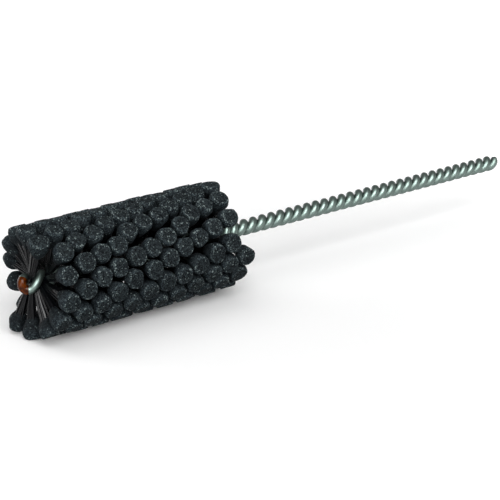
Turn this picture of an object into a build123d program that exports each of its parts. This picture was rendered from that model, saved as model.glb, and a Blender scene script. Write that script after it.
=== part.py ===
"""Flexible bore brush: one twisted steel wire pinching nylon bundles that end in abrasive globules.

Row frame in millimetres: the brush axis is X, the cut end of the shank is at the origin and faces +X,
the folded nose points to -X, and +Z is up. Turns about the axis are in degrees from +Z towards -Y.
"""

import math
import os
import random

from build123d import *

# Overall sizes
overall_length = 203.0
head_diameter = 36.0
bristled_length = 71.0
nose_to_first_bundle = 4.15

# Steel wire, folded at the nose and twisted left-handed on itself
wire_diameter = 2.7
leg_gap = 0.09
shank_lead = 7.77
head_lead = 12.245
last_bundle_to_closing = 1.2
closing_length = 7.0
closing_lead = 7.468
closing_lag = 2.5
nose_loop_width = 7.0
nose_neck_length = 3.0
loop_twist_share = 0.5
first_bundle_turn = 23.9
cut_end_chamfer = 0.3

# Nylon bundles pinched between the two legs
bundle_pitch = 0.91
bundle_waist_diameter = 0.8
bundle_tip_diameter = 2.5
bundle_sides = 12
pinch_gap = 0.09

# Abrasive globules, one on each end of a bundle, ground to the head diameter
globule_diameter = 6.5
globule_diameter_spread = 0.5
ground_face_to_centre = 2.1
globule_gap = 0.1
neck_wall = 0.35
neck_length = 0.5
neck_start_angle = -50.0
socket_gap = 0.05
socket_floor_share = 0.35

# Scatter that hand dipping leaves in the rows, and the lean of the first bundles towards the nose
axial_scatter = 0.8
turn_scatter = 3.5
scatter_seed = 577
settling_rounds = 12
nose_lean = 0.7
nose_lean_reach = 5.0

# Coloured dip on the nose loop, a little further along one leg than along the other
dip_length = 5.0
dip_offset = 0.5
dip_wall = 0.15
dip_gap = 0.02

# Number of nodes that the bundles, and the globules, are shared between
ring_count = 12

# Radii and places along the axis that follow from the sizes above
wire_radius = wire_diameter / 2
waist_radius = bundle_waist_diameter / 2
tip_radius = bundle_tip_diameter / 2
head_radius = head_diameter / 2
globule_circle_radius = head_radius - ground_face_to_centre
shank_helix_radius = wire_radius + leg_gap / 2
head_helix_radius = wire_radius + waist_radius + pinch_gap
loop_radius = nose_loop_width / 2 - wire_radius
apex_x = wire_radius - overall_length
loop_centre_x = apex_x + loop_radius
neck_end_x = loop_centre_x + nose_neck_length
first_bundle_x = nose_to_first_bundle - overall_length
bundle_count = round(bristled_length / bundle_pitch) + 1
last_bundle_x = first_bundle_x + (bundle_count - 1) * bundle_pitch
closing_start_x = last_bundle_x + last_bundle_to_closing
closing_end_x = closing_start_x + closing_length
closing_twist = 360 * closing_length / closing_lead


def turned(x, radius, turn):
    """The point at this place along the axis, this far out, at this turn about the axis."""
    angle = math.radians(turn)
    return Vector(x, -radius * math.sin(angle), radius * math.cos(angle))


def smooth_step(share):
    """A share from 0 to 1, eased so that it leaves and arrives level."""
    return share * share * (3 - 2 * share)


def leg_turn(x):
    """Turn of the first leg at x in the head, where it stands square to the bundle that it pinches."""
    return first_bundle_turn - 90 - (x - first_bundle_x) * 360 / head_lead


def helix_tangent(radius, turn, lead):
    """Direction towards +X of a left-handed helix at this turn."""
    rate = 2 * math.pi * radius / lead
    angle = math.radians(turn)
    return Vector(1, rate * math.cos(angle), rate * math.sin(angle)).normalized()


def helix_leg(start_x, end_x, radius, lead, start_turn):
    """One leg's centre line between two places on the axis, as a left-handed helix."""
    frame = Plane(origin=(start_x, 0, 0), x_dir=turned(0, 1, start_turn), z_dir=(1, 0, 0))
    return frame * Helix(pitch=lead, height=end_x - start_x, radius=radius, lefthand=True)


def closing_leg(start_turn):
    """The stretch where a leg leaves the last bundle: its twist tightens first, then it closes in."""
    start_rate = 360 * closing_length / head_lead
    end_rate = 360 * closing_length / shank_lead
    end_turn = start_turn - closing_twist
    steps = 8
    points = []
    for step in range(steps + 1):
        share = step / steps
        turn = start_turn - closing_twist * smooth_step(share)
        turn -= start_rate * share * (1 - share) ** 2 - end_rate * share**2 * (1 - share)
        closed = smooth_step(share**closing_lag)
        radius = head_helix_radius + (shank_helix_radius - head_helix_radius) * closed
        points.append(turned(closing_start_x + share * closing_length, radius, turn))
    tangents = (
        helix_tangent(head_helix_radius, start_turn, head_lead),
        helix_tangent(shank_helix_radius, end_turn, shank_lead),
    )
    return Spline(points, tangents=tangents, tangent_scalars=(1, 1))


def nose_side(side_turn):
    """Points of the folded nose from beside its apex back to the start of the head's helix."""
    points = []
    for cap_angle in (22.5, 45, 67.5, 90):
        angle = math.radians(cap_angle)
        ahead = loop_radius * math.cos(angle)
        turn = leg_turn(loop_centre_x - ahead * loop_twist_share) + side_turn
        points.append(turned(loop_centre_x - ahead, loop_radius * math.sin(angle), turn))
    for share in (1 / 3, 2 / 3, 1):
        x = loop_centre_x + share * nose_neck_length
        radius = loop_radius + (head_helix_radius - loop_radius) * smooth_step(share)
        points.append(turned(x, radius, leg_turn(x) + side_turn))
    return points


def nose_loop():
    """The fold's centre line, a half circle that keeps some of the head's twist up to its apex."""
    end_turn = leg_turn(neck_end_x)
    points = nose_side(0)[::-1] + [Vector(apex_x, 0, 0)] + nose_side(180)
    tangents = (
        -helix_tangent(head_helix_radius, end_turn, head_lead),
        helix_tangent(head_helix_radius, end_turn + 180, head_lead),
    )
    return Spline(points, tangents=tangents, tangent_scalars=(1, 1))


def leg(side_turn):
    """One leg's three stretches from the nose to just past the shank's cut end."""
    closing_turn = leg_turn(closing_start_x) + side_turn
    shank_turn = closing_turn - closing_twist
    past_cut_x = wire_diameter
    return [
        helix_leg(
            neck_end_x,
            closing_start_x,
            head_helix_radius,
            head_lead,
            leg_turn(neck_end_x) + side_turn,
        ),
        closing_leg(closing_turn),
        helix_leg(closing_end_x, past_cut_x, shank_helix_radius, shank_lead, shank_turn),
    ]


def wire_stem():
    """The whole wire: up one leg, round the nose loop and back down the other, cut square at x = 0."""
    path = Wire(leg(0)[::-1] + [nose_loop()] + leg(180))
    section = Plane(origin=path @ 0, z_dir=path % 0) * Circle(wire_radius)
    swept = sweep(section, path=path, is_frenet=False)
    cut = split(swept, bisect_by=Plane.YZ, keep=Keep.BOTTOM)
    return chamfer(cut.edges().group_by(Axis.X)[-1], cut_end_chamfer)


def nose_dip():
    """The thin coloured coat round the front of the nose loop."""
    loop = nose_loop()
    middle = 0.5 + dip_offset / loop.length
    half_share = dip_length / 2 / loop.length
    path = loop.trim(middle - half_share, middle + half_share)
    inner_radius = wire_radius + dip_gap
    coat = Circle(inner_radius + dip_wall) - Circle(inner_radius)
    return sweep(Plane(origin=path @ 0, z_dir=path % 0) * coat, path=path, is_frenet=False)


def scattered_spots():
    """Each globule's place along the axis and round the globule circle, two for each bundle."""
    draw = random.Random(scatter_seed)
    spots = []
    for index in range(bundle_count):
        along = index * bundle_pitch
        root_x = first_bundle_x + along
        lean = nose_lean * max(1 - along / nose_lean_reach, 0)
        for side_turn in (90, 270):
            x = root_x - lean + draw.uniform(-axial_scatter, axial_scatter)
            turn = leg_turn(root_x) + side_turn + draw.uniform(-turn_scatter, turn_scatter)
            spots.append([x, math.radians(turn) * globule_circle_radius])
    return spots


def settle(spots):
    """Push neighbours apart, as soft globules do, until they stand about a globule's diameter apart."""
    circumference = 2 * math.pi * globule_circle_radius
    bundles_ahead = math.ceil((globule_diameter + 2 * axial_scatter) / bundle_pitch)
    for _ in range(settling_rounds):
        for index, spot in enumerate(spots):
            for other in spots[index + 1 : index + 1 + 2 * bundles_ahead]:
                along = other[0] - spot[0]
                around = math.remainder(other[1] - spot[1], circumference)
                push = max(globule_diameter / math.hypot(along, around) - 1, 0) / 2
                spot[0] -= along * push
                spot[1] -= around * push
                other[0] += along * push
                other[1] += around * push


def bundle_places():
    """For each bundle its root on the axis and its two globules' centres."""
    spots = scattered_spots()
    settle(spots)
    centres = [
        turned(x, globule_circle_radius, math.degrees(arc / globule_circle_radius)) for x, arc in spots
    ]
    roots = [Vector(first_bundle_x + index * bundle_pitch, 0, 0) for index in range(bundle_count)]
    return list(zip(roots, zip(centres[::2], centres[1::2])))


def globule_diameters(places):
    """A diameter for each globule, drawn about the mean and held clear of its nearest neighbour."""
    draw = random.Random(scatter_seed + 1)
    centres = [centre for _, pair in places for centre in pair]
    diameters = []
    for centre in centres:
        nearest = min((centre - other).length for other in centres if other is not centre)
        wanted = globule_diameter + draw.uniform(-1, 1) * globule_diameter_spread
        diameters.append(min(wanted, nearest - globule_gap))
    return list(zip(diameters[::2], diameters[1::2]))


def socket_floor(diameter):
    """How far short of a globule's centre its bundle ends."""
    return socket_floor_share * diameter / 2


def globule(root, centre, diameter):
    """One globule on its bundle's end: a ball with a short neck, a blind socket and a ground face.

    It is ground while it stands straight above the axis, and then turned to its place.
    """
    radius = diameter / 2
    mouth = -radius - neck_length
    socket_radius = tip_radius + socket_gap
    neck_radius = socket_radius + neck_wall
    floor = -socket_floor(diameter)
    ball = CenterArc((0, 0), radius, 90, neck_start_angle - 90)
    outline = Polyline(
        ball @ 1,
        (neck_radius, mouth),
        (socket_radius, mouth),
        (socket_radius, floor),
        (0, floor),
        ball @ 0,
    )
    whole = revolve(Plane.XZ * make_face(ball + outline), axis=Axis.Z)
    above = Vector(centre.X, 0, globule_circle_radius)
    standing = Plane(origin=above, z_dir=above - root) * whole
    ground = standing & Pos(centre.X, 0, 0) * ground_envelope
    turn = math.degrees(math.atan2(-centre.Y, centre.Z))
    return Rot(turn, 0, 0) * ground.solid()


def bundle(root, centres, diameters):
    """One nylon bundle: thin where the legs pinch it, fanning out to a globule at both ends."""
    outward = [(centre - root).normalized() for centre in centres]
    reaches = [
        (centre - root).length - socket_floor(diameter)
        for centre, diameter in zip(centres, diameters)
    ]
    stations = (
        (root + outward[0] * reaches[0], -outward[0], tip_radius),
        (root, outward[1] - outward[0], waist_radius),
        (root + outward[1] * reaches[1], outward[1], tip_radius),
    )
    sections = [
        Plane(origin=origin, x_dir=(1, 0, 0), z_dir=direction) * RegularPolygon(radius, bundle_sides)
        for origin, direction, radius in stations
    ]
    return loft(sections, ruled=True).solid()


def ring_name(kind, ring):
    """A node's name from what it holds and its place from the nose."""
    return f"{kind}_ring_{ring + 1:02d}"


def all_nodes():
    """Every node's name with its shape."""
    nodes = {"wire_stem": wire_stem(), "nose_dip": nose_dip()}
    places = bundle_places()
    sizes = globule_diameters(places)
    for ring in range(ring_count):
        first = ring * bundle_count // ring_count
        last = (ring + 1) * bundle_count // ring_count
        balls = []
        bundles = []
        for (root, centres), diameters in zip(places[first:last], sizes[first:last]):
            balls += [globule(root, c, d) for c, d in zip(centres, diameters)]
            bundles.append(bundle(root, centres, diameters))
        nodes[ring_name("globules", ring)] = Compound(children=balls)
        nodes[ring_name("bristles", ring)] = Compound(children=bundles)
    return nodes


ground_envelope = Rot(0, 90, 0) * Cylinder(head_radius, 4 * globule_diameter)

os.makedirs("parts", exist_ok=True)
for name, shape in all_nodes().items():
    export_step(shape, f"parts/{name}.step")
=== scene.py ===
"""A flexible bore brush lying on a pale floor: ground abrasive globules on nylon tufts in a twisted wire.

The detailed pieces stand on the places that the frame's nodes hold, in metres, with the brush axis along X.
Turns about the axis are in degrees from +Z towards -Y. Colours are linear red, green and blue.
"""
import math
import random

import bmesh
import bpy
import numpy as np
from mathutils import Euler, Matrix, Vector, noise


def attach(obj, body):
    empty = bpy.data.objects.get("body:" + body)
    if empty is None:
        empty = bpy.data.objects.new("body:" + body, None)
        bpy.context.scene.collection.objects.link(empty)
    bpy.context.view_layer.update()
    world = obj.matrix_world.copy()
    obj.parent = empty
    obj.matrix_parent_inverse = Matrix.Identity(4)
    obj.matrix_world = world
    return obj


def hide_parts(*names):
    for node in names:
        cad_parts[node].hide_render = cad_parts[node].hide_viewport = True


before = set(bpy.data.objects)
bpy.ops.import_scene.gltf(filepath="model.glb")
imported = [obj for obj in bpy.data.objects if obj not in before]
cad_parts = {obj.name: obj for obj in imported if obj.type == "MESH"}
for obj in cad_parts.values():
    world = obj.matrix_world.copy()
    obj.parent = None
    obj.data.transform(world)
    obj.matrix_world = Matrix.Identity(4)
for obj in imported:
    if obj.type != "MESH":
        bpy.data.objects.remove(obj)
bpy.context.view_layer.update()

MM = 0.001
BODY = "root"

# Sizes of the brush, as its solids have them
OVERALL_LENGTH = 203.0 * MM
HEAD_RADIUS = 18.0 * MM
BRISTLED_LENGTH = 71.0 * MM
NOSE_TO_FIRST_BUNDLE = 4.15 * MM
WIRE_RADIUS = 1.35 * MM
LEG_GAP = 0.09 * MM
SHANK_LEAD = 7.77 * MM
HEAD_LEAD = 12.245 * MM
LAST_BUNDLE_TO_CLOSING = 1.2 * MM
CLOSING_LENGTH = 7.0 * MM
CLOSING_LEAD = 7.468 * MM
CLOSING_LAG = 2.5
NOSE_LOOP_WIDTH = 7.0 * MM
NOSE_NECK_LENGTH = 3.0 * MM
LOOP_TWIST_SHARE = 0.5
FIRST_BUNDLE_TURN = 23.9
BUNDLE_SIDES = (90, 270)
BUNDLE_PITCH = 0.91 * MM
WAIST_RADIUS = 0.4 * MM
PINCH_GAP = 0.09 * MM
GLOBULE_DIAMETER = 6.5 * MM
GLOBULE_SPREAD = 0.5 * MM
GROUND_FACE_TO_CENTRE = 2.1 * MM
GLOBULE_GAP = 0.1 * MM
AXIAL_SCATTER = 0.8 * MM
TURN_SCATTER = 3.5
SCATTER_SEED = 577
SETTLING_ROUNDS = 12
NOSE_LEAN = 0.7 * MM
NOSE_LEAN_REACH = 5.0 * MM
DIP_LENGTH = 5.0 * MM
DIP_OFFSET = 0.5 * MM
DIP_WALL = 0.15 * MM
RING_COUNT = 12

# Places and radii that follow from them
SHANK_HELIX_RADIUS = WIRE_RADIUS + LEG_GAP / 2
HEAD_HELIX_RADIUS = WIRE_RADIUS + WAIST_RADIUS + PINCH_GAP
LOOP_RADIUS = NOSE_LOOP_WIDTH / 2 - WIRE_RADIUS
APEX_X = WIRE_RADIUS - OVERALL_LENGTH
LOOP_CENTRE_X = APEX_X + LOOP_RADIUS
FIRST_BUNDLE_X = NOSE_TO_FIRST_BUNDLE - OVERALL_LENGTH
BUNDLE_COUNT = round(BRISTLED_LENGTH / BUNDLE_PITCH) + 1
LAST_BUNDLE_X = FIRST_BUNDLE_X + (BUNDLE_COUNT - 1) * BUNDLE_PITCH
CLOSING_START_X = LAST_BUNDLE_X + LAST_BUNDLE_TO_CLOSING
CLOSING_END_X = CLOSING_START_X + CLOSING_LENGTH
CLOSING_TWIST = 360 * CLOSING_LENGTH / CLOSING_LEAD
GLOBULE_CIRCLE_RADIUS = HEAD_RADIUS - GROUND_FACE_TO_CENTRE

# Shape of a globule: a barrel pressed flat in places, with a tail towards its tuft
BALL_SUBDIVISIONS = 5
BALL_GROWTH = 1.01
BARREL_POWER = 2.25
TAIL_STRETCH = 1.4
FLATS = 9
FLAT_REACH = (0.86, 0.98)
FLAT_TILT = (-0.7, 0.45)
FLAT_ROUNDING = 0.10 * MM
LEAST_FACING = 0.05
LUMP_SHARE = 0.04
LUMP_SIZE = 0.8
NECK_RISE = 1.1 * MM
NECK_SPREAD = 0.38

# Grit on a globule and its ground face, which lies a little under the head's full radius
GRIT_HEIGHT = 0.10 * MM
GRIT_SIZE = 0.50 * MM
FINE_GRIT_SHARE = 0.6
GROUND_PIT_DEPTH = 0.24 * MM
GROUND_PIT_SIZE = GRIT_SIZE * 0.8
LEAST_PIT = 0.05
RIM_ROUNDING = 0.09 * MM
LEAST_RECESS = 0.02 * MM
LARGEST_RECESS = 0.45 * MM
RECESS_POWER = 3
NOISE_OFFSETS = (0, 90)
DETAIL_SEED = 20

# Filaments of half a tuft, packed at the wire and fanned out at the globule
FILAMENT_RADIUS = 0.25 * MM
FILAMENTS = 11
FILAMENT_SIDES = 8
FILAMENT_STEPS = 7
FILAMENT_STOP = 0.45
FAN_RADIUS = 1.8 * MM
FAN_POWER = 0.6
BOW = 0.30 * MM
CORE_SHARE = 0.92
ANGLE_SCATTER = 0.25
TWIST_SCATTER = 0.4
SPREAD_SCATTER = (0.8, 1.05)

# Steps along the wire and round it, and the dip's swelling from its thin ends
LOOP_STEP = 6
HEAD_STEP = 0.3 * MM
CLOSING_STEP = 0.04
SHANK_POINTS = 460
WIRE_SIDES = 28
LOOP_POINTS = 16
DIP_EDGE = 0.02 * MM
DIP_SWELL = 0.65
DIP_END_POWER = 6

# The direction that the rings of a tube are set out from
RING_START = (0.3, 0.5, 0.8)

# Colours of the grit
BLACK = (0.0, 0.0, 0.0)
RESIN_TONES = ((0.0027, 0.0041, 0.0055), (0.0062, 0.0094, 0.0123))
TAIL_TONE = (0.006, 0.008, 0.0095)
GROUND_TONES = ((0.0010, 0.0018, 0.0027), (0.0028, 0.0044, 0.0055))
MOTTLE_TONE = (0.036, 0.046, 0.049)
SPECKLE_TONE = (0.055, 0.073, 0.080)
# Painted glints: single grains with a bright base colour stand in for the flash of crystal facets
PAINTED_GLINT_TONES = ((0.06, 0.082, 0.085), (0.22, 0.27, 0.265))
PAINTED_GLINT_ROUGHNESS = (0.7, 0.35)
RESIN_CLOUD_SIZE = 1.6 * MM

# Where a globule's finishes fade, in millimetres past its ground face, or for its tail in outward facing
FACE_FADE = (0.15, 0.45)
SIDE_FADE = (-1.2, 0.15)
RIM_FADE = (0.45, 1.0)
EDGE_RAGGEDNESS = 0.5
EDGE_NOISE_SIZE = 0.5 * MM
TAIL_FADE = (-0.75, 0.0)

# Grains: sizes, strength and depth of bumps, which random numbers show, and how much of them where
GRAIN_SIZE = 0.34 * MM
FINE_GRAIN_SIZE = 0.18 * MM
GRAIN_BUMP = (0.8, 0.10 * MM)
FINE_GRAIN_BUMP = (0.6, 0.05 * MM)
MOTTLED_GRAINS = (0.30, 1.0)
SPECKLED_GRAINS = (0.55, 1.0)
# Grains past this random number get painted glints, more of them at the rim and a few on the sides
PAINTED_GLINT_GRAINS = (0.975, 1.0)
MOTTLE_SHARE = 0.30
TAIL_SPECKLE = 0.40
RIM_SPECKLE = 0.60
RIM_PAINTED_GLINT = 0.10
SIDE_PAINTED_GLINT = 0.02

# Nylon, wire and dip: tones, sizes of their marks, where these fade, and the strength and depth of bumps
NYLON_TONES = ((0.0014, 0.0017, 0.0024), (0.0031, 0.0036, 0.0048))
NYLON_CLOUD_SIZE = 1.5 * MM
NYLON_CLOUD_FADE = (0.3, 0.7)
NYLON_ROUGHNESS = (0.13, 0.22)
NYLON_GRAIN_SIZE = 0.2 * MM
NYLON_BUMP = (0.15, 0.02 * MM)
WIRE_TONES = ((0.145, 0.192, 0.176), (0.20, 0.253, 0.234))
WIRE_LINE_TONE = (0.10, 0.135, 0.118)
WIRE_LINE_SIZE = 0.12 * MM
WIRE_LINE_STRETCH = (0.06, 1.0, 1.0)
WIRE_LINE_FADE = (0.25, 0.6)
WIRE_STAIN_SIZE = 3.0 * MM
WIRE_DULLING_FADE = (0.3, 0.75)
WIRE_ROUGHNESS = (0.47, 0.39)
WIRE_BUMP = (0.25, 0.02 * MM)
DIP_TONES = ((0.030, 0.0045, 0.0002), (0.110, 0.022, 0.0005))
DIP_CLOUD_SIZE = 1.2 * MM
DIP_CLOUD_FADE = (0.35, 0.65)
DIP_BUMP = (0.5, 0.12 * MM)

# Floor: white to the eye and in reflections, grey in the light that it throws back
FLOOR_REACH = 3.0
PAPER_TONES = ((0.96, 0.96, 0.96), (0.98, 0.98, 0.98))
PAPER_CLOUD_SIZE = 30 * MM
BOUNCE_TONE = (0.36, 0.36, 0.36)
# Painted light: the floor glows for the camera and in reflections, faintly round the head and more strongly
# far from it
NEAR_PAINTED_GLOW = 0.045
FAR_PAINTED_GLOW = 0.71
PAINTED_GLOW_CENTRE = (-0.165, -0.02, 0)
PAINTED_GLOW_REACH = (0.06, 0.42)

# Room: brightness by the height of a direction, where the backdrop is white below its fading
HORIZON_BRIGHTNESS = 0.32
CEILING_BRIGHTNESS = 0.22
ROOM_RISE = (0.1, 0.9)
BACKDROP_FADE = (0.10, 0.14)

# Soft boxes: place, width, power in watts and the spot that each one faces
SOFT_BOXES = {
    "overhead": ((-0.25, 0.25, 0.93), 1.10, 3.3, (-0.13, 0, 0)),
    "front": ((-0.38, -0.70, 0.66), 0.85, 7.6, (-0.10, 0, 0)),
    "gleam": ((-0.36, -0.62, 0.80), 0.85, 18.0, (-0.10, 0, 0)),
    "left": ((-0.91, -0.33, 0.15), 0.35, 2.2, (-0.20, 0, 0)),
    "behind": ((-0.50, 0.80, 0.20), 0.40, 2.8, (-0.15, 0, 0)),
}

# Camera of the photograph
CAMERA_PLACE = (-0.4952, -0.4774, 0.2111)
CAMERA_ELEVATION = 19.76
CAMERA_AZIMUTH = -38.67
CAMERA_NEAR_END = 0.01
FOCAL_PIXELS = 1961.0
FRAME_PIXELS = 500.0
SENSOR_WIDTH = 36.0


def turned(x, radius, turn):
    """The point at this place along the axis, this far out, at this turn about the axis."""
    angle = math.radians(turn)
    return Vector((x, -radius * math.sin(angle), radius * math.cos(angle)))


def smooth_step(share):
    """A share from 0 to 1, eased so that it leaves and arrives level."""
    share = min(max(share, 0.0), 1.0)
    return share * share * (3 - 2 * share)


def leg_turn(x):
    """Turn of the first leg of the wire at x in the head, a quarter turn behind the bundle there."""
    return FIRST_BUNDLE_TURN - BUNDLE_SIDES[0] - (x - FIRST_BUNDLE_X) * 360 / HEAD_LEAD


def scattered_spots():
    """Each globule's place along the axis and round the globule circle, two for each bundle."""
    draw = random.Random(SCATTER_SEED)
    spots = []
    for index in range(BUNDLE_COUNT):
        along = index * BUNDLE_PITCH
        root_x = FIRST_BUNDLE_X + along
        lean = NOSE_LEAN * max(1 - along / NOSE_LEAN_REACH, 0)
        for side_turn in BUNDLE_SIDES:
            x = root_x - lean + draw.uniform(-AXIAL_SCATTER, AXIAL_SCATTER)
            turn = leg_turn(root_x) + side_turn + draw.uniform(-TURN_SCATTER, TURN_SCATTER)
            spots.append([x, math.radians(turn) * GLOBULE_CIRCLE_RADIUS])
    return spots


def settle(spots):
    """Push neighbours apart, as soft globules do, until they stand about a globule's diameter apart."""
    circumference = 2 * math.pi * GLOBULE_CIRCLE_RADIUS
    bundles_ahead = math.ceil((GLOBULE_DIAMETER + 2 * AXIAL_SCATTER) / BUNDLE_PITCH)
    for _ in range(SETTLING_ROUNDS):
        for index, spot in enumerate(spots):
            for other in spots[index + 1 : index + 1 + 2 * bundles_ahead]:
                along = other[0] - spot[0]
                around = math.remainder(other[1] - spot[1], circumference)
                push = max(GLOBULE_DIAMETER / math.hypot(along, around) - 1, 0) / 2
                spot[0] -= along * push
                spot[1] -= around * push
                other[0] += along * push
                other[1] += around * push


def bundle_places():
    """For each bundle its root on the axis and its two globules' centres."""
    spots = scattered_spots()
    settle(spots)
    centres = [
        turned(x, GLOBULE_CIRCLE_RADIUS, math.degrees(arc / GLOBULE_CIRCLE_RADIUS)) for x, arc in spots
    ]
    roots = [Vector((FIRST_BUNDLE_X + index * BUNDLE_PITCH, 0, 0)) for index in range(BUNDLE_COUNT)]
    return list(zip(roots, zip(centres[::2], centres[1::2])))


def globule_diameters(places):
    """A diameter for each globule, drawn about the mean and held clear of its nearest neighbour."""
    draw = random.Random(SCATTER_SEED + 1)
    centres = [centre for _, pair in places for centre in pair]
    diameters = []
    for centre in centres:
        nearest = min((centre - other).length for other in centres if other is not centre)
        wanted = GLOBULE_DIAMETER + draw.uniform(-1, 1) * GLOBULE_SPREAD
        diameters.append(min(wanted, nearest - GLOBULE_GAP))
    return list(zip(diameters[::2], diameters[1::2]))


def mesh_piece(name, points, faces, material, node, attributes=None):
    """A mesh object that stands for a node, rides on the body and takes its finish from a slot."""
    mesh = bpy.data.meshes.new(name)
    mesh.from_pydata(points, [], faces)
    mesh.polygons.foreach_set("use_smooth", [True] * len(mesh.polygons))
    for key, values in (attributes or {}).items():
        layer = mesh.attributes.new(key, "FLOAT_VECTOR", "POINT")
        layer.data.foreach_set("vector", np.asarray(values, np.float32).ravel())
    mesh.update()
    mesh.materials.append(material)
    piece = bpy.data.objects.new(name, mesh)
    bpy.context.scene.collection.objects.link(piece)
    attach(piece, BODY)
    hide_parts(node)


def node_tree(name):
    """A new material with its node tree, its shader and its texture coordinates in the row frame."""
    material = bpy.data.materials.new(name)
    material.use_nodes = True
    tree = material.node_tree
    shader = tree.nodes["Principled BSDF"]
    coordinates = tree.nodes.new("ShaderNodeTexCoord").outputs["Object"]
    return material, tree, shader, coordinates


def attribute_value(tree, name):
    """A vector that the mesh holds for each of its points."""
    node = tree.nodes.new("ShaderNodeAttribute")
    node.attribute_name = name
    return node.outputs["Vector"]


def separated(tree, vector):
    """The three numbers of a vector."""
    node = tree.nodes.new("ShaderNodeSeparateXYZ")
    tree.links.new(vector, node.inputs[0])
    return node.outputs


def maths(tree, operation, *values):
    """A maths node on sockets or numbers."""
    node = tree.nodes.new("ShaderNodeMath")
    node.operation = operation
    for slot, value in zip(node.inputs, values):
        if isinstance(value, (int, float)):
            slot.default_value = value
        else:
            tree.links.new(value, slot)
    return node.outputs[0]


def ranged(tree, value, low, high, to_low=0.0, to_high=1.0):
    """A value mapped smoothly from one range to another and held inside it."""
    node = tree.nodes.new("ShaderNodeMapRange")
    node.interpolation_type = "SMOOTHSTEP"
    tree.links.new(value, node.inputs["Value"])
    node.inputs["From Min"].default_value = low
    node.inputs["From Max"].default_value = high
    node.inputs["To Min"].default_value = to_low
    node.inputs["To Max"].default_value = to_high
    return node.outputs["Result"]


def mixed(tree, share, first, second, blend="MIX"):
    """Two colours mixed by a share; either may be a colour or a socket."""
    node = tree.nodes.new("ShaderNodeMix")
    node.data_type = "RGBA"
    node.blend_type = blend
    tree.links.new(share, node.inputs["Factor"])
    # The colours go into the node's seventh and eighth inputs and come out of its third output
    for slot, value in zip(node.inputs[6:8], (first, second)):
        if isinstance(value, tuple):
            slot.default_value = (*value, 1)
        else:
            tree.links.new(value, slot)
    return node.outputs[2]


def noise_value(tree, coordinates, size, detail=3.0, roughness=0.5):
    """Noise with features of this size in metres."""
    node = tree.nodes.new("ShaderNodeTexNoise")
    tree.links.new(coordinates, node.inputs["Vector"])
    node.inputs["Scale"].default_value = 1 / size
    node.inputs["Detail"].default_value = detail
    node.inputs["Roughness"].default_value = roughness
    return node.outputs["Fac"]


def grains(tree, coordinates, size):
    """Cells of this size in metres: three random numbers for each, and their rise to their middles."""
    node = tree.nodes.new("ShaderNodeTexVoronoi")
    tree.links.new(coordinates, node.inputs["Vector"])
    node.inputs["Scale"].default_value = 1 / size
    split = tree.nodes.new("ShaderNodeSeparateColor")
    tree.links.new(node.outputs["Color"], split.inputs["Color"])
    return split.outputs, maths(tree, "SUBTRACT", 1.0, node.outputs["Distance"])


def bumped(tree, height, strength, depth, under=None):
    """A bump from a height socket, on top of another bump if one is given."""
    node = tree.nodes.new("ShaderNodeBump")
    node.inputs["Strength"].default_value = strength
    node.inputs["Distance"].default_value = depth
    tree.links.new(height, node.inputs["Height"])
    if under:
        tree.links.new(under, node.inputs["Normal"])
    return node.outputs["Normal"]


def seen_directly(tree):
    """One for a ray from the camera, through glass or off a glossy surface, and nought for others."""
    rays = tree.nodes.new("ShaderNodeLightPath").outputs
    seen = maths(tree, "MAXIMUM", rays["Is Camera Ray"], rays["Is Transmission Ray"])
    return maths(tree, "MAXIMUM", seen, rays["Is Glossy Ray"])


def resin_colour(tree, coordinates, edge, tail, own):
    """Dark resin, paler towards the tuft, with a ground face whose tone is the globule's own."""
    cloud = noise_value(tree, coordinates, RESIN_CLOUD_SIZE)
    cloud_and_own = maths(tree, "MULTIPLY", maths(tree, "ADD", cloud, own), 0.5)
    flank = mixed(tree, tail, TAIL_TONE, mixed(tree, cloud_and_own, *RESIN_TONES))
    return mixed(tree, ranged(tree, edge, *FACE_FADE), flank, mixed(tree, own, *GROUND_TONES))


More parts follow.
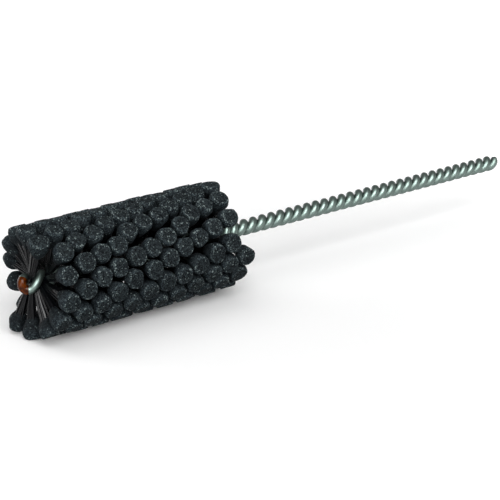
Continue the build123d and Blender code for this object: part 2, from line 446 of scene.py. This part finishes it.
def abrasive_material():
    """Charcoal grit in dark resin, mottled and speckled, with painted glints (bright grains standing in for
    the flash of crystal facets), most of them round the ground face.
    """
    material, tree, shader, coordinates = node_tree("silicon_carbide_grit")
    past_face, outward, own = separated(tree, attribute_value(tree, "wear"))
    ragged = noise_value(tree, coordinates, EDGE_NOISE_SIZE)
    edge = maths(tree, "MULTIPLY_ADD", ragged, EDGE_RAGGEDNESS, past_face)
    side = ranged(tree, edge, *SIDE_FADE)
    rim = maths(tree, "MULTIPLY", side, ranged(tree, edge, *RIM_FADE, 1.0, 0.0))
    tail = ranged(tree, outward, *TAIL_FADE)
    grain, grain_rise = grains(tree, coordinates, GRAIN_SIZE)
    fine_grain, fine_grain_rise = grains(tree, coordinates, FINE_GRAIN_SIZE)

    resin = resin_colour(tree, coordinates, edge, tail, own)
    mottle = mixed(tree, ranged(tree, grain[0], *MOTTLED_GRAINS), BLACK, MOTTLE_TONE)
    mottle_share = maths(tree, "MULTIPLY_ADD", tail, MOTTLE_SHARE, MOTTLE_SHARE)
    mottled = mixed(tree, mottle_share, resin, mottle, "ADD")
    speckle = mixed(tree, ranged(tree, fine_grain[0], *SPECKLED_GRAINS), BLACK, SPECKLE_TONE)
    tail_speckle = maths(tree, "MULTIPLY", tail, TAIL_SPECKLE)
    speckle_share = maths(tree, "MULTIPLY_ADD", rim, RIM_SPECKLE, tail_speckle)
    speckled = mixed(tree, speckle_share, mottled, speckle, "ADD")
    # Painted glints: bright grains that stand in for the flash of crystal facets, most of them round the
    # ground face
    painted_glint_share = maths(tree, "MULTIPLY_ADD", rim, RIM_PAINTED_GLINT, maths(tree, "MULTIPLY", side, SIDE_PAINTED_GLINT))
    painted_glint = ranged(tree, maths(tree, "ADD", grain[1], painted_glint_share), *PAINTED_GLINT_GRAINS)
    painted_glint_tone = mixed(tree, grain[2], *PAINTED_GLINT_TONES)

    tree.links.new(mixed(tree, painted_glint, speckled, painted_glint_tone), shader.inputs["Base Color"])
    tree.links.new(ranged(tree, painted_glint, 0, 1, *PAINTED_GLINT_ROUGHNESS), shader.inputs["Roughness"])
    shader.inputs["Specular IOR Level"].default_value = 0.05
    coarse_bump = bumped(tree, grain_rise, *GRAIN_BUMP)
    tree.links.new(
        bumped(tree, fine_grain_rise, *FINE_GRAIN_BUMP, coarse_bump), shader.inputs["Normal"]
    )
    return material


def nylon_material():
    """Black nylon monofilament: glossy, a little blue and faintly uneven."""
    material, tree, shader, coordinates = node_tree("black_nylon")
    cloud = noise_value(tree, coordinates, NYLON_CLOUD_SIZE, detail=2.0)
    grain = noise_value(tree, coordinates, NYLON_GRAIN_SIZE, detail=2.0)
    tree.links.new(mixed(tree, cloud, *NYLON_TONES), shader.inputs["Base Color"])
    tree.links.new(ranged(tree, cloud, *NYLON_CLOUD_FADE, *NYLON_ROUGHNESS), shader.inputs["Roughness"])
    shader.inputs["Specular IOR Level"].default_value = 0.20
    tree.links.new(bumped(tree, grain, *NYLON_BUMP), shader.inputs["Normal"])
    return material


def wire_material():
    """Drawn steel wire with a grey-green protective film and faint, duller draw lines along it."""
    material, tree, shader, coordinates = node_tree("drawn_steel")
    stretch = tree.nodes.new("ShaderNodeMapping")
    stretch.inputs["Scale"].default_value = WIRE_LINE_STRETCH
    tree.links.new(attribute_value(tree, "along_wire"), stretch.inputs["Vector"])
    lines = noise_value(tree, stretch.outputs[0], WIRE_LINE_SIZE, roughness=0.6)
    stains = noise_value(tree, coordinates, WIRE_STAIN_SIZE)
    film = mixed(tree, stains, *WIRE_TONES)
    lined = mixed(tree, ranged(tree, lines, *WIRE_LINE_FADE), WIRE_LINE_TONE, film)
    tree.links.new(lined, shader.inputs["Base Color"])
    shader.inputs["Metallic"].default_value = 1.0
    tree.links.new(ranged(tree, lines, *WIRE_DULLING_FADE, *WIRE_ROUGHNESS), shader.inputs["Roughness"])
    tree.links.new(bumped(tree, lines, *WIRE_BUMP), shader.inputs["Normal"])
    return material


def dip_material():
    """Amber dip, glossy, uneven and darker in places."""
    material, tree, shader, coordinates = node_tree("amber_dip")
    cloud = noise_value(tree, coordinates, DIP_CLOUD_SIZE)
    amber = mixed(tree, ranged(tree, cloud, *DIP_CLOUD_FADE), *DIP_TONES)
    tree.links.new(amber, shader.inputs["Base Color"])
    shader.inputs["Roughness"].default_value = 0.22
    shader.inputs["Specular IOR Level"].default_value = 0.08
    shader.inputs["Coat Weight"].default_value = 0.08
    shader.inputs["Coat Roughness"].default_value = 0.08
    tree.links.new(bumped(tree, cloud, *DIP_BUMP), shader.inputs["Normal"])
    return material


def floor_material():
    """Pale paper with a painted glow that grows away from the head, so that the shadows near it are kept.
    """
    material, tree, shader, coordinates = node_tree("white_sweep")
    cloud = noise_value(tree, coordinates, PAPER_CLOUD_SIZE, detail=2.0)
    shader.inputs["Roughness"].default_value = 0.9
    shader.inputs["Specular IOR Level"].default_value = 0.1
    seen = seen_directly(tree)
    paper = mixed(tree, cloud, *PAPER_TONES)
    tree.links.new(mixed(tree, seen, BOUNCE_TONE, paper), shader.inputs["Base Color"])
    shader.inputs["Emission Color"].default_value = (1, 1, 1, 1)
    away = tree.nodes.new("ShaderNodeVectorMath")
    away.operation = "DISTANCE"
    tree.links.new(coordinates, away.inputs[0])
    away.inputs[1].default_value = PAINTED_GLOW_CENTRE
    # Painted light: a glow that grows with the distance from the head, where the lamps light the floor less
    painted_glow = ranged(tree, away.outputs["Value"], *PAINTED_GLOW_REACH, NEAR_PAINTED_GLOW, FAR_PAINTED_GLOW)
    tree.links.new(maths(tree, "MULTIPLY", seen, painted_glow), shader.inputs["Emission Strength"])
    return material


def sphere_directions(subdivisions):
    """Unit directions and triangles of an even ball."""
    ball = bmesh.new()
    bmesh.ops.create_icosphere(ball, subdivisions=subdivisions, radius=1.0)
    directions = np.array([v.co for v in ball.verts])
    faces = [tuple(v.index for v in f.verts) for f in ball.faces]
    ball.free()
    return directions, faces


def noise_at(points, size, offset):
    """Signed noise with features of this size at each of these points."""
    moved = points / size + offset
    return np.array([noise.noise(Vector(p)) for p in moved])


def frame_along(direction, roll):
    """A rotation whose third axis lies along a direction, turned about it by roll."""
    turn = direction.to_track_quat("Z", "Y").to_matrix()
    return np.array(turn @ Matrix.Rotation(roll, 3, "Z"))


def soft_least(values, limit, rounding):
    """Values held under a limit, with the corner between them rounded off."""
    return values - rounding * np.logaddexp(0, (values - limit) / rounding)


def barrel_reach(directions, radius):
    """How far a globule reaches in each direction: a barrel outwards, drawn out towards its tuft."""
    across = np.hypot(directions[:, 0], directions[:, 1])
    along = directions[:, 2]
    outer = radius / (across**BARREL_POWER + np.abs(along) ** BARREL_POWER) ** (1 / BARREL_POWER)
    inner = radius / np.hypot(across, along / TAIL_STRETCH)
    return np.where(along > 0, outer, inner)


def pressed_flat(reach, directions, radius, draw):
    """The same reach with flats where its neighbours pressed on the soft globule."""
    for _ in range(FLATS):
        angle = draw.uniform(0, math.tau)
        tilt = draw.uniform(*FLAT_TILT)
        normal = np.array(
            (math.cos(angle) * math.cos(tilt), math.sin(angle) * math.cos(tilt), math.sin(tilt))
        )
        facing = np.maximum(directions @ normal, LEAST_FACING)
        reach = soft_least(reach, radius * draw.uniform(*FLAT_REACH) / facing, FLAT_ROUNDING)
    return reach


def roughened(reach, directions, radius, seed):
    """The same reach with lumps and grit on it and a neck round the tuft."""
    lumps = noise_at(directions, LUMP_SIZE, seed)
    from_root = np.arccos(np.clip(-directions[:, 2], -1, 1))
    neck = NECK_RISE * np.exp(-((from_root / NECK_SPREAD) ** 2))
    grit = noise_at(directions * radius, GRIT_SIZE, seed) * GRIT_HEIGHT
    grit += noise_at(directions * radius, GRIT_SIZE / 2, seed) * GRIT_HEIGHT * FINE_GRIT_SHARE
    return reach * (1 + LUMP_SHARE * lumps) + neck + grit


def globule_points(directions, root, centre, diameter, draw):
    """A gritty globule, ground off at the head's diameter.

    Beside its points it gives, for each, how far it stood past the ground face in millimetres, how far
    out it faces, and the globule's own share.
    """
    radius = diameter / 2 * BALL_GROWTH
    turn = frame_along((centre - root).normalized(), draw.uniform(0, math.tau))
    seed = np.array([draw.uniform(*NOISE_OFFSETS) for _ in range(3)])
    reach = pressed_flat(barrel_reach(directions, radius), directions, radius, draw)
    reach = roughened(reach, directions, radius, seed)
    points = np.array(centre) + (directions * reach[:, None]) @ turn.T
    out = np.hypot(points[:, 1], points[:, 2])
    pits = np.clip(noise_at(points, GROUND_PIT_SIZE, seed) - LEAST_PIT, 0, None) * GROUND_PIT_DEPTH
    face_radius = HEAD_RADIUS - LEAST_RECESS - LARGEST_RECESS * draw.random() ** RECESS_POWER
    cut = soft_least(out, face_radius - pits, RIM_ROUNDING)
    points[:, 1:] *= (cut / out)[:, None]
    points[:, 0] = -soft_least(-points[:, 0], OVERALL_LENGTH, RIM_ROUNDING)
    past_face = (out - face_radius) / MM
    wear = np.column_stack((past_face, directions[:, 2], np.full(len(out), draw.random())))
    return points, wear


def globule_ring(name, bundles, sizes, material, node, draw):
    """All the globules on one stretch of the head."""
    directions, triangles = sphere_directions(BALL_SUBDIVISIONS)
    points = []
    wear = []
    faces = []
    for (root, centres), diameters in zip(bundles, sizes):
        for centre, diameter in zip(centres, diameters):
            first = len(points) * len(directions)
            ball, ball_wear = globule_points(directions, root, centre, diameter, draw)
            points.append(ball)
            wear.append(ball_wear)
            faces += [tuple(i + first for i in t) for t in triangles]
    attributes = {"wear": np.vstack(wear)}
    mesh_piece(name, np.vstack(points).tolist(), faces, material, node, attributes)


def tube(path, radii, sides):
    """Points and faces of a tube round a path, with a cap at each end."""
    path = np.asarray(path)
    forward = np.gradient(path, axis=0)
    forward /= np.linalg.norm(forward, axis=1)[:, None]
    side = np.cross(forward[0], RING_START)
    side /= np.linalg.norm(side)
    angles = np.arange(sides) * math.tau / sides
    points = []
    for place, ahead, radius in zip(path, forward, radii):
        side = side - ahead * np.dot(side, ahead)
        side /= np.linalg.norm(side)
        other = np.cross(ahead, side)
        ring = np.outer(np.cos(angles), side) + np.outer(np.sin(angles), other)
        points.append(place + ring * radius)
    faces = []
    for step in range(len(path) - 1):
        near, far = step * sides, (step + 1) * sides
        for i in range(sides):
            j = (i + 1) % sides
            faces.append((near + i, near + j, far + j, far + i))
    last = (len(path) - 1) * sides
    faces.append(tuple(range(sides))[::-1])
    faces.append(tuple(range(last, last + sides)))
    return np.vstack(points), faces


def filament_paths(root, centre, diameter, draw):
    """The path and radii of the core and of each filament of half a tuft, up to inside the globule."""
    axis = (centre - root).normalized()
    turn = frame_along(axis, draw.uniform(0, math.tau))
    reach = (centre - root).length - FILAMENT_STOP * diameter / 2
    bow = turn @ np.array([draw.uniform(-1, 1), draw.uniform(-1, 1), 0]) * BOW
    shares = np.linspace(0, 1, FILAMENT_STEPS)
    widths = (WAIST_RADIUS - FILAMENT_RADIUS) * (1 - shares) + FAN_RADIUS * shares**FAN_POWER
    middle = np.array(root) + np.outer(reach * shares, np.array(axis))
    middle += np.outer(np.sin(math.pi * shares), bow)
    strands = [(middle, np.maximum(widths * CORE_SHARE, FILAMENT_RADIUS))]
    for index in range(FILAMENTS):
        angle = math.tau * index / FILAMENTS + draw.uniform(-ANGLE_SCATTER, ANGLE_SCATTER)
        twist = draw.uniform(-TWIST_SCATTER, TWIST_SCATTER)
        spread = draw.uniform(*SPREAD_SCATTER)
        turns = angle + twist * shares
        packed = np.column_stack((np.cos(turns), np.sin(turns), np.zeros(FILAMENT_STEPS))) @ turn.T
        path = middle + packed * (widths * spread)[:, None]
        strands.append((path, np.full(FILAMENT_STEPS, FILAMENT_RADIUS)))
    return strands


def bristle_ring(name, bundles, sizes, material, node, draw):
    """All the nylon tufts on one stretch of the head."""
    points = []
    faces = []
    first = 0
    for (root, centres), diameters in zip(bundles, sizes):
        for centre, diameter in zip(centres, diameters):
            for path, radii in filament_paths(root, centre, diameter, draw):
                tube_points, tube_faces = tube(path, radii, FILAMENT_SIDES)
                points.append(tube_points)
                faces += [tuple(i + first for i in face) for face in tube_faces]
                first += len(tube_points)
    mesh_piece(name, np.vstack(points).tolist(), faces, material, node)


def loop_path(side_turn):
    """Half of the nose loop's centre line, from its apex back."""
    places = []
    for cap_angle in np.arange(0, 90, LOOP_STEP):
        angle = math.radians(cap_angle)
        ahead = LOOP_RADIUS * math.cos(angle)
        turn = leg_turn(LOOP_CENTRE_X - ahead * LOOP_TWIST_SHARE) + side_turn
        places.append(turned(LOOP_CENTRE_X - ahead, LOOP_RADIUS * math.sin(angle), turn))
    return places


def head_path(side_turn):
    """One leg's centre line through the neck and the head, where it stands off the bundles' waists."""
    places = []
    for x in np.arange(LOOP_CENTRE_X, CLOSING_START_X, HEAD_STEP):
        share = smooth_step((x - LOOP_CENTRE_X) / NOSE_NECK_LENGTH)
        radius = LOOP_RADIUS + (HEAD_HELIX_RADIUS - LOOP_RADIUS) * share
        places.append(turned(x, radius, leg_turn(x) + side_turn))
    return places


def closing_path(start):
    """One leg's centre line where the legs close on each other, from the head's lead to the shank's."""
    start_rate = 360 * CLOSING_LENGTH / HEAD_LEAD
    end_rate = 360 * CLOSING_LENGTH / SHANK_LEAD
    places = []
    for share in np.arange(0, 1, CLOSING_STEP):
        turn = start - CLOSING_TWIST * smooth_step(share)
        turn -= start_rate * share * (1 - share) ** 2 - end_rate * share**2 * (1 - share)
        closed = smooth_step(share**CLOSING_LAG)
        radius = HEAD_HELIX_RADIUS + (SHANK_HELIX_RADIUS - HEAD_HELIX_RADIUS) * closed
        places.append(turned(CLOSING_START_X + share * CLOSING_LENGTH, radius, turn))
    return places


def shank_path(start):
    """One leg's centre line through the shank to its cut end."""
    places = []
    for x in np.linspace(CLOSING_END_X, 0, SHANK_POINTS):
        turn = start - (x - CLOSING_END_X) * 360 / SHANK_LEAD
        places.append(turned(x, SHANK_HELIX_RADIUS, turn))
    return places


def leg_path(side_turn):
    """One leg's centre line from the nose's apex to the shank's cut end."""
    start = leg_turn(CLOSING_START_X) + side_turn
    front = loop_path(side_turn) + head_path(side_turn)
    return front + closing_path(start) + shank_path(start - CLOSING_TWIST)


def distance_along(path):
    """How far along a path each of its points lies."""
    return np.r_[0, np.cumsum(np.linalg.norm(np.diff(path, axis=0), axis=1))]


def wire_piece(material):
    """The folded wire, with the distance along it kept for its draw lines."""
    path = np.array(leg_path(0)[::-1] + leg_path(180)[1:])
    points, faces = tube(path, [WIRE_RADIUS] * len(path), WIRE_SIDES)
    points[:, 0] = np.minimum(points[:, 0], 0.0)
    along = np.repeat(distance_along(path), WIRE_SIDES)
    angles = np.tile(np.arange(WIRE_SIDES) * math.tau / WIRE_SIDES, len(path))
    vectors = np.column_stack((along, WIRE_RADIUS * np.cos(angles), WIRE_RADIUS * np.sin(angles)))
    attributes = {"along_wire": vectors}
    mesh_piece(
        "twisted_wire", points.tolist(), faces, material, "wire_stem", attributes
    )


def dip_piece(material):
    """The coat on the front of the nose loop, thin at its ends."""
    path = np.array(leg_path(0)[:LOOP_POINTS][::-1] + leg_path(180)[1:LOOP_POINTS])
    along = distance_along(path)
    middle = along[-1] / 2 + DIP_OFFSET
    coated = np.abs(along - middle) <= DIP_LENGTH / 2
    share = (along[coated] - middle) / (DIP_LENGTH / 2)
    swell = DIP_WALL * np.clip(1 - share**DIP_END_POWER, 0, 1) * DIP_SWELL
    radii = WIRE_RADIUS + swell + DIP_EDGE
    points, faces = tube(path[coated], radii, WIRE_SIDES)
    mesh_piece("tip_coat", points.tolist(), faces, material, "nose_dip")


def make_brush():
    """Every piece of the brush."""
    places = bundle_places()
    sizes = globule_diameters(places)
    grit = abrasive_material()
    nylon = nylon_material()
    draw = random.Random(DETAIL_SEED)
    wire_piece(wire_material())
    dip_piece(dip_material())
    for ring in range(RING_COUNT):
        first = ring * BUNDLE_COUNT // RING_COUNT
        last = (ring + 1) * BUNDLE_COUNT // RING_COUNT
        label = f"{ring + 1:02d}"
        bundles, diameters = places[first:last], sizes[first:last]
        globule_ring(f"grit_{label}", bundles, diameters, grit, f"globules_ring_{label}", draw)
        bristle_ring(f"tufts_{label}", bundles, diameters, nylon, f"bristles_ring_{label}", draw)


def make_floor():
    """The surface that the head lies on."""
    mesh = bpy.data.meshes.new("floor")
    corners = [(x * FLOOR_REACH, y * FLOOR_REACH, 0) for x, y in ((-1, -1), (1, -1), (1, 1), (-1, 1))]
    mesh.from_pydata(corners, [], [(0, 1, 2, 3)])
    mesh.materials.append(floor_material())
    floor = bpy.data.objects.new("floor", mesh)
    floor.location.z = -HEAD_RADIUS
    bpy.context.scene.collection.objects.link(floor)


def make_camera():
    """The photograph's view."""
    data = bpy.data.cameras.new("camera")
    data.sensor_width = SENSOR_WIDTH
    data.lens = FOCAL_PIXELS / FRAME_PIXELS * SENSOR_WIDTH
    data.clip_start = CAMERA_NEAR_END
    camera = bpy.data.objects.new("camera", data)
    camera.location = CAMERA_PLACE
    camera.rotation_euler = Euler(
        (math.radians(90 - CAMERA_ELEVATION), 0, math.radians(CAMERA_AZIMUTH))
    )
    bpy.context.scene.collection.objects.link(camera)
    bpy.context.scene.camera = camera


def make_room():
    """A grey room with a white backdrop for what is seen directly or in a reflection."""
    world = bpy.data.worlds.new("studio")
    bpy.context.scene.world = world
    world.use_nodes = True
    tree = world.node_tree
    background = tree.nodes["Background"]
    background.inputs["Color"].default_value = (1, 1, 1, 1)
    height = separated(tree, tree.nodes.new("ShaderNodeTexCoord").outputs["Generated"])[2]
    low = ranged(tree, height, *BACKDROP_FADE, 1.0, 0.0)
    backdrop = maths(tree, "MULTIPLY", seen_directly(tree), low)
    room = ranged(tree, height, *ROOM_RISE, HORIZON_BRIGHTNESS, CEILING_BRIGHTNESS)
    tree.links.new(maths(tree, "MAXIMUM", room, backdrop), background.inputs["Strength"])


def soft_box(name, place, size, power, target):
    """A square lamp that faces a spot on the brush."""
    data = bpy.data.lights.new(name, "AREA")
    data.size = size
    data.energy = power
    lamp = bpy.data.objects.new(name, data)
    lamp.location = place
    towards = Vector(target) - Vector(place)
    lamp.rotation_euler = towards.to_track_quat("-Z", "Y").to_euler()
    bpy.context.scene.collection.objects.link(lamp)
    return lamp


def make_light():
    """The room and its soft boxes: the overhead one makes no reflections, and the gleam nothing else."""
    make_room()
    lamps = {name: soft_box(name, *settings) for name, settings in SOFT_BOXES.items()}
    lamps["overhead"].visible_glossy = False
    lamps["gleam"].visible_diffuse = False


make_camera()
make_light()
make_floor()
make_brush()
bpy.context.scene.view_settings.view_transform = "Standard"
